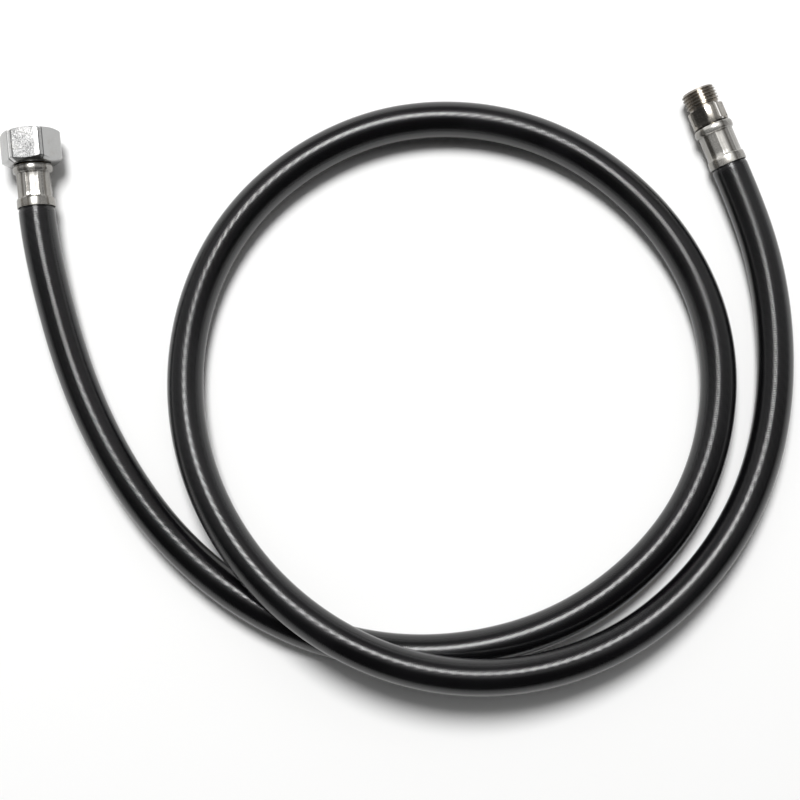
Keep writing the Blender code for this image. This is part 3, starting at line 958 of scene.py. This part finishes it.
class AddFerrules(bpy.types.Operator):
    """The two crimped ferrules, and the hose's ends that show in their mouths"""

    bl_idname = "water_hose.add_ferrules"
    bl_label = "Ferrules"

    def execute(self, context):
        settings = context.scene.hose_ferrules
        tint = tuple(settings.steel)
        # Each end: frame, crimp phase in degrees, angles of its painted highlight stripe, and centres
        # and half widths of its painted dark reflection lines
        ends = (("nut", NUT_FRAME, 28, (-2, 17), ((-33, 4), (-11, 2.5), (50, 4))),
                ("nipple", NIPPLE_FRAME, -14, (-42, 9), ((-50, 6), (18, 3))))
        for end, place, phase, bright, lines in ends:
            name = f"crimped_ferrule_{end}_end"
            tone = ferrule_tone(tint, bright, lines)
            surface = metal_surface(f"ferrule_steel_{end}", tint, 0.18, 0.7, 0.4, 0.004 * MM,
                                    tone, 0.75)
            mesh = ferrule_mesh(name, settings, math.radians(phase))
            add_piece(name, mesh, surface, "hose_and_ends", [f"{end}_ferrule"], place)
        gripped = Surface("gripped_hose", Roughness=0.5)
        place = gripped.place()
        cut = gripped.noise(place, 900.0, 3.0)
        gripped.feed(
            Base_Color=gripped.mix(cut, (0.004, 0.004, 0.0045), (0.012, 0.012, 0.013)),
            Normal=gripped.bump(cut, 0.02 * MM),
        )
        for node in ("hose_end_nut", "hose_end_nipple"):
            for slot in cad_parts[node].material_slots:
                slot.material = gripped.material
        return {"FINISHED"}


class AddNipple(bpy.types.Operator):
    """The male nipple with its thread and milled collar"""

    bl_idname = "water_hose.add_nipple"
    bl_label = "Threaded nipple"

    def execute(self, context):
        settings = context.scene.hose_nipple
        tint = tuple(settings.plating)
        surface = metal_surface("nipple_plate", tint, 0.2, 0.35, 0.5, 0.005 * MM,
                                nipple_tone(tint), 0.88)
        nipple = add_piece("threaded_nipple", nipple_mesh(settings), surface, "hose_and_ends",
                           ["male_nipple"], NIPPLE_FRAME, crease=40)
        outside, collar_end = 7.2 * MM, 29.0 * MM
        mark_edges(nipple.data, 35,
                   lambda co: math.hypot(co.x, co.y) > outside and co.z < collar_end)
        round_edges(nipple, settings.edge_round, 2)
        return {"FINISHED"}


class AddStage(bpy.types.Operator):
    """Pale floor, soft lamp and studio surroundings"""

    bl_idname = "water_hose.add_stage"
    bl_label = "Stage"

    def execute(self, context):
        settings = context.scene.hose_stage
        self.add_floor(settings)
        self.add_lamp(settings)
        self.add_surroundings(context.scene)
        context.scene.view_settings.view_transform = "Standard"
        return {"FINISHED"}

    def add_floor(self, settings):
        """Plain pale floor that keeps the shadows."""
        paint = Surface("pale_floor", Roughness=0.9, Specular_IOR_Level=0.0)
        faint = paint.noise(paint.place(), 3.0, 2.0)
        paint.feed(Base_Color=paint.mix(faint, tuple(settings.floor),
                                        shaded(settings.floor, 0.995)))
        mesh = bpy.data.meshes.new("pale_floor")
        corners = [(x * FLOOR_REACH, y * FLOOR_REACH, 0)
                   for x, y in ((-1, -1), (1, -1), (1, 1), (-1, 1))]
        mesh.from_pydata(corners, [], [(0, 1, 2, 3)])
        mesh.materials.append(paint.material)
        floor = bpy.data.objects.new("pale_floor", mesh)
        bpy.context.scene.collection.objects.link(floor)

    def add_lamp(self, settings):
        """Round soft lamp up behind the hose, which draws the streak along it."""
        light = bpy.data.lights.new("soft_lamp", "AREA")
        light.shape = "DISK"
        light.size = settings.lamp_size
        light.energy = settings.lamp_power
        lamp = bpy.data.objects.new("soft_lamp", light)
        lamp.location = LAMP_PLACE
        aim = Vector(LAMP_AIM) - lamp.location
        lamp.rotation_euler = aim.to_track_quat("-Z", "Y").to_euler()
        bpy.context.scene.collection.objects.link(lamp)

    def add_surroundings(self, scene):
        """World with a bright ceiling towards +Y, a dark one towards -Y and a pale horizon."""
        world = bpy.data.worlds.new("studio")
        scene.world = world
        studio = Tree(world)
        direction = studio.add("ShaderNodeTexCoord", out="Generated")
        x, y, z = studio.parts(direction)
        tilt = y.math("ARCTAN2", z)
        ceiling = tilt.ramp(math.radians(-2), math.radians(7)) * tilt.ramp(
            math.radians(44), math.radians(54), 1.0, 0.3)
        glow = ceiling * 0.52 + 0.02
        horizon = z.ramp(math.sin(math.radians(5)), math.sin(math.radians(14)), 1.0, 0.0)
        level = glow * (1 - horizon) + horizon * 0.95
        background = studio.nodes["Background"]
        studio.put(background, "Strength", level)
        studio.put(background, "Color", (1.0, 1.0, 1.0))


OPERATORS = (AddCamera, AddHose, AddSwivelNut, AddWasherAndTail, AddFerrules, AddNipple, AddStage)
SETTINGS = {
    "hose_tube": HoseSettings,
    "hose_nut": NutSettings,
    "hose_ferrules": FerruleSettings,
    "hose_nipple": NippleSettings,
    "hose_inner": InnerSettings,
    "hose_stage": StageSettings,
}


class WATERHOSE_PT_pieces(bpy.types.Panel):
    """Lists the pieces of the hose and their settings"""

    bl_label = "Water hose"
    bl_space_type = "VIEW_3D"
    bl_region_type = "UI"
    bl_category = "Water hose"

    def draw(self, context):
        for operator in OPERATORS:
            self.layout.operator(operator.bl_idname)
        for name in SETTINGS:
            box = self.layout.box()
            group = getattr(context.scene, name)
            for prop in group.bl_rna.properties:
                if not prop.is_readonly and prop.identifier != "name":
                    box.prop(group, prop.identifier)


def register():
    for kind in (*SETTINGS.values(), *OPERATORS, WATERHOSE_PT_pieces):
        bpy.utils.register_class(kind)
    for name, kind in SETTINGS.items():
        setattr(bpy.types.Scene, name, PointerProperty(type=kind))


def unregister():
    for name in SETTINGS:
        delattr(bpy.types.Scene, name)
    for kind in (WATERHOSE_PT_pieces, *reversed(OPERATORS), *SETTINGS.values()):
        bpy.utils.unregister_class(kind)


def main():
    register()
    bpy.ops.water_hose.add_camera()
    bpy.ops.water_hose.add_hose()
    bpy.ops.water_hose.add_swivel_nut()
    bpy.ops.water_hose.add_washer_and_tail()
    bpy.ops.water_hose.add_ferrules()
    bpy.ops.water_hose.add_nipple()
    bpy.ops.water_hose.add_stage()


if __name__ == "__main__":
    main()
